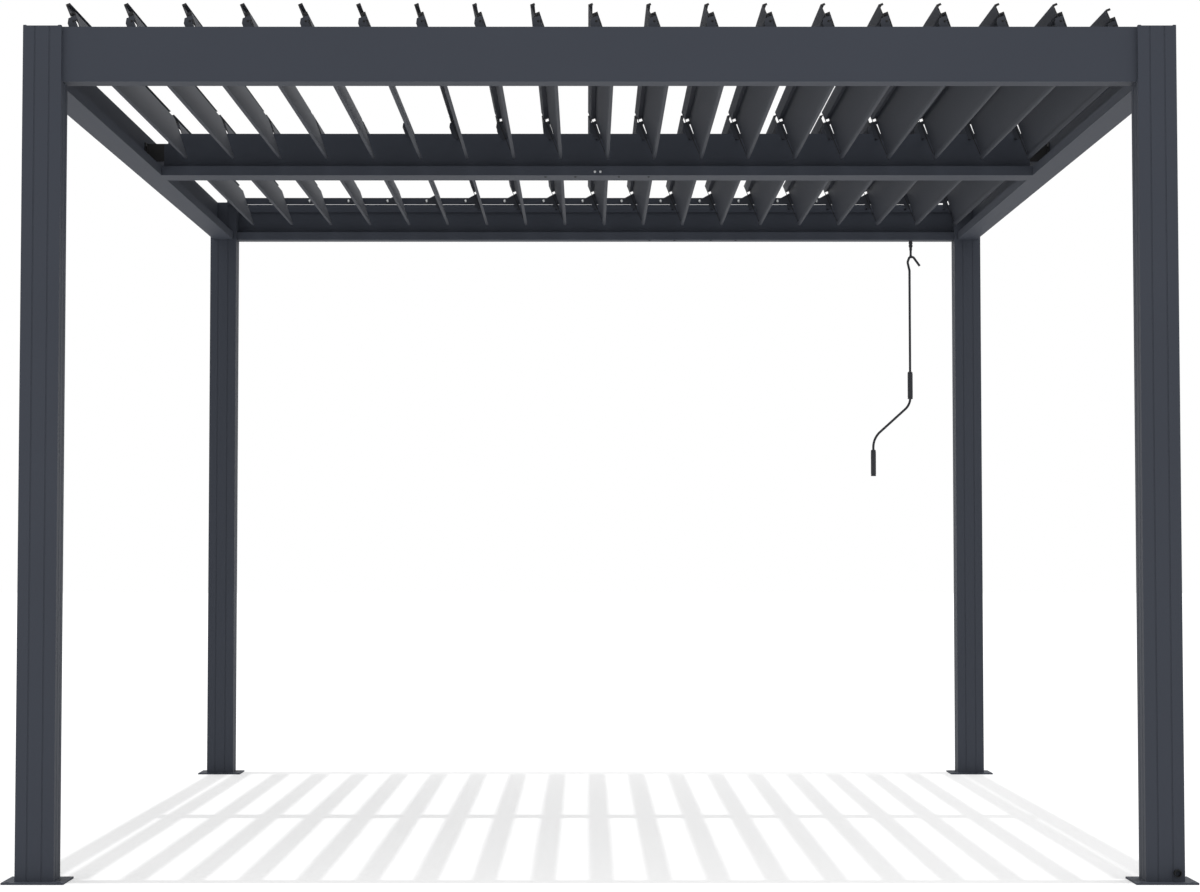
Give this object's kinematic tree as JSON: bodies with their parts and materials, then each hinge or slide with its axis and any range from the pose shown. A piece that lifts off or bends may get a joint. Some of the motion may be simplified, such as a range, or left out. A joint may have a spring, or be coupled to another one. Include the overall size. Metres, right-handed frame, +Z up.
{
  "type": "louvered pergola",
  "caption": "Free-standing four-post aluminium pergola with two roof bays of coupled tilting louvers, gutter beams, anchored base plates and a hanging hand crank that turns the blades.",
  "frame": {"origin": "on the ground at the middle of the plan, below the middle beam", "axes": "+X to the right along the front beam, +Y to the back along the louvers, +Z up"},
  "size_m": [3.06, 4.06, 2.2836],
  "materials": {
    "frame_coat": "matt powder coat, dark grey",
    "louver_coat": "matt powder coat, dark grey",
    "crank_coat": "satin dark coat",
    "black_plastic": "moulded, fine grain",
    "grip_plastic": "moulded, fine grain"
  },
  "bodies": {
    "frame": {"post_front_left": "frame_coat", "post_front_right": "frame_coat", "post_rear_left": "frame_coat", "post_rear_right": "frame_coat", "base_plate_front_left": "frame_coat", "base_plate_front_right": "frame_coat", "base_plate_rear_left": "frame_coat", "base_plate_rear_right": "frame_coat", "post_cap_front_left": "frame_coat", "post_cap_front_right": "frame_coat", "post_cap_rear_left": "frame_coat", "post_cap_rear_right": "frame_coat", "front_beam": "frame_coat", "rear_beam": "frame_coat", "left_beam": "frame_coat", "right_beam": "frame_coat", "centre_beam": "frame_coat", "bearing_rail_front": "frame_coat", "bearing_rail_rear": "frame_coat", "centre_bracket_left": "frame_coat", "centre_bracket_right": "frame_coat", "gearbox": "black_plastic", "drain_outlet": "black_plastic"},
    "louver_01": {"louver_01": "louver_coat"},
    "louver_02": {"louver_02": "louver_coat"},
    "louver_03": {"louver_03": "louver_coat"},
    "louver_04": {"louver_04": "louver_coat"},
    "louver_05": {"louver_05": "louver_coat"},
    "louver_06": {"louver_06": "louver_coat"},
    "louver_07": {"louver_07": "louver_coat"},
    "louver_08": {"louver_08": "louver_coat"},
    "louver_09": {"louver_09": "louver_coat"},
    "louver_10": {"louver_10": "louver_coat"},
    "louver_11": {"louver_11": "louver_coat"},
    "louver_12": {"louver_12": "louver_coat"},
    "louver_13": {"louver_13": "louver_coat"},
    "louver_14": {"louver_14": "louver_coat"},
    "louver_15": {"louver_15": "louver_coat"},
    "louver_16": {"louver_16": "louver_coat"},
    "louver_17": {"louver_17": "louver_coat"},
    "louver_18": {"louver_18": "louver_coat"},
    "louver_19": {"louver_19": "louver_coat"},
    "link": {"link_bar": "frame_coat"},
    "crank": {"crank_rod": "crank_coat", "crank_grips": "grip_plastic"}
  },
  "joints": [
    {"name": "louver_01_turn", "type": "hinge", "parent": "frame", "child": "louver_01", "pos_m": [-1.3671, 0, 2.1995], "axis": [0, 1, 0], "range_deg": [0, 105]},
    {"name": "louver_02_turn", "type": "hinge", "parent": "frame", "child": "louver_02", "pos_m": [-1.2152, 0, 2.1995], "axis": [0, 1, 0], "range_deg": [0, 105]},
    {"name": "louver_03_turn", "type": "hinge", "parent": "frame", "child": "louver_03", "pos_m": [-1.0633, 0, 2.1995], "axis": [0, 1, 0], "range_deg": [0, 105]},
    {"name": "louver_04_turn", "type": "hinge", "parent": "frame", "child": "louver_04", "pos_m": [-0.9114, 0, 2.1995], "axis": [0, 1, 0], "range_deg": [0, 105]},
    {"name": "louver_05_turn", "type": "hinge", "parent": "frame", "child": "louver_05", "pos_m": [-0.7595, 0, 2.1995], "axis": [0, 1, 0], "range_deg": [0, 105]},
    {"name": "louver_06_turn", "type": "hinge", "parent": "frame", "child": "louver_06", "pos_m": [-0.6076, 0, 2.1995], "axis": [0, 1, 0], "range_deg": [0, 105]},
    {"name": "louver_07_turn", "type": "hinge", "parent": "frame", "child": "louver_07", "pos_m": [-0.4557, 0, 2.1995], "axis": [0, 1, 0], "range_deg": [0, 105]},
    {"name": "louver_08_turn", "type": "hinge", "parent": "frame", "child": "louver_08", "pos_m": [-0.3038, 0, 2.1995], "axis": [0, 1, 0], "range_deg": [0, 105]},
    {"name": "louver_09_turn", "type": "hinge", "parent": "frame", "child": "louver_09", "pos_m": [-0.1519, 0, 2.1995], "axis": [0, 1, 0], "range_deg": [0, 105]},
    {"name": "louver_10_turn", "type": "hinge", "parent": "frame", "child": "louver_10", "pos_m": [0, 0, 2.1995], "axis": [0, 1, 0], "range_deg": [0, 105]},
    {"name": "louver_11_turn", "type": "hinge", "parent": "frame", "child": "louver_11", "pos_m": [0.1519, 0, 2.1995], "axis": [0, 1, 0], "range_deg": [0, 105]},
    {"name": "louver_12_turn", "type": "hinge", "parent": "frame", "child": "louver_12", "pos_m": [0.3038, 0, 2.1995], "axis": [0, 1, 0], "range_deg": [0, 105]},
    {"name": "louver_13_turn", "type": "hinge", "parent": "frame", "child": "louver_13", "pos_m": [0.4557, 0, 2.1995], "axis": [0, 1, 0], "range_deg": [0, 105]},
    {"name": "louver_14_turn", "type": "hinge", "parent": "frame", "child": "louver_14", "pos_m": [0.6076, 0, 2.1995], "axis": [0, 1, 0], "range_deg": [0, 105]},
    {"name": "louver_15_turn", "type": "hinge", "parent": "frame", "child": "louver_15", "pos_m": [0.7595, 0, 2.1995], "axis": [0, 1, 0], "range_deg": [0, 105]},
    {"name": "louver_16_turn", "type": "hinge", "parent": "frame", "child": "louver_16", "pos_m": [0.9114, 0, 2.1995], "axis": [0, 1, 0], "range_deg": [0, 105]},
    {"name": "louver_17_turn", "type": "hinge", "parent": "frame", "child": "louver_17", "pos_m": [1.0633, 0, 2.1995], "axis": [0, 1, 0], "range_deg": [0, 105]},
    {"name": "louver_18_turn", "type": "hinge", "parent": "frame", "child": "louver_18", "pos_m": [1.2152, 0, 2.1995], "axis": [0, 1, 0], "range_deg": [0, 105]},
    {"name": "louver_19_turn", "type": "hinge", "parent": "frame", "child": "louver_19", "pos_m": [1.3671, 0, 2.1995], "axis": [0, 1, 0], "range_deg": [0, 105]},
    {"name": "link_swing", "type": "hinge", "parent": "louver_10", "child": "link", "pos_m": [-0.0495, 1.888, 2.2205], "axis": [0, 1, 0], "range_deg": [-105, 0]},
    {"name": "crank_turn", "type": "hinge", "parent": "frame", "child": "crank", "pos_m": [1.234, 1.95, 2.03], "axis": [0, 0, 1], "range_deg": [0, 1260]}
  ],
  "couplings": [
    {"joint": "louver_01_turn", "follows": "louver_10_turn", "ratio": 1},
    {"joint": "louver_02_turn", "follows": "louver_10_turn", "ratio": 1},
    {"joint": "louver_03_turn", "follows": "louver_10_turn", "ratio": 1},
    {"joint": "louver_04_turn", "follows": "louver_10_turn", "ratio": 1},
    {"joint": "louver_05_turn", "follows": "louver_10_turn", "ratio": 1},
    {"joint": "louver_06_turn", "follows": "louver_10_turn", "ratio": 1},
    {"joint": "louver_07_turn", "follows": "louver_10_turn", "ratio": 1},
    {"joint": "louver_08_turn", "follows": "louver_10_turn", "ratio": 1},
    {"joint": "louver_09_turn", "follows": "louver_10_turn", "ratio": 1},
    {"joint": "louver_11_turn", "follows": "louver_10_turn", "ratio": 1},
    {"joint": "louver_12_turn", "follows": "louver_10_turn", "ratio": 1},
    {"joint": "louver_13_turn", "follows": "louver_10_turn", "ratio": 1},
    {"joint": "louver_14_turn", "follows": "louver_10_turn", "ratio": 1},
    {"joint": "louver_15_turn", "follows": "louver_10_turn", "ratio": 1},
    {"joint": "louver_16_turn", "follows": "louver_10_turn", "ratio": 1},
    {"joint": "louver_17_turn", "follows": "louver_10_turn", "ratio": 1},
    {"joint": "louver_18_turn", "follows": "louver_10_turn", "ratio": 1},
    {"joint": "louver_19_turn", "follows": "louver_10_turn", "ratio": 1},
    {"joint": "link_swing", "follows": "louver_10_turn", "ratio": -1},
    {"joint": "crank_turn", "follows": "louver_10_turn", "ratio": 12}
  ]
}
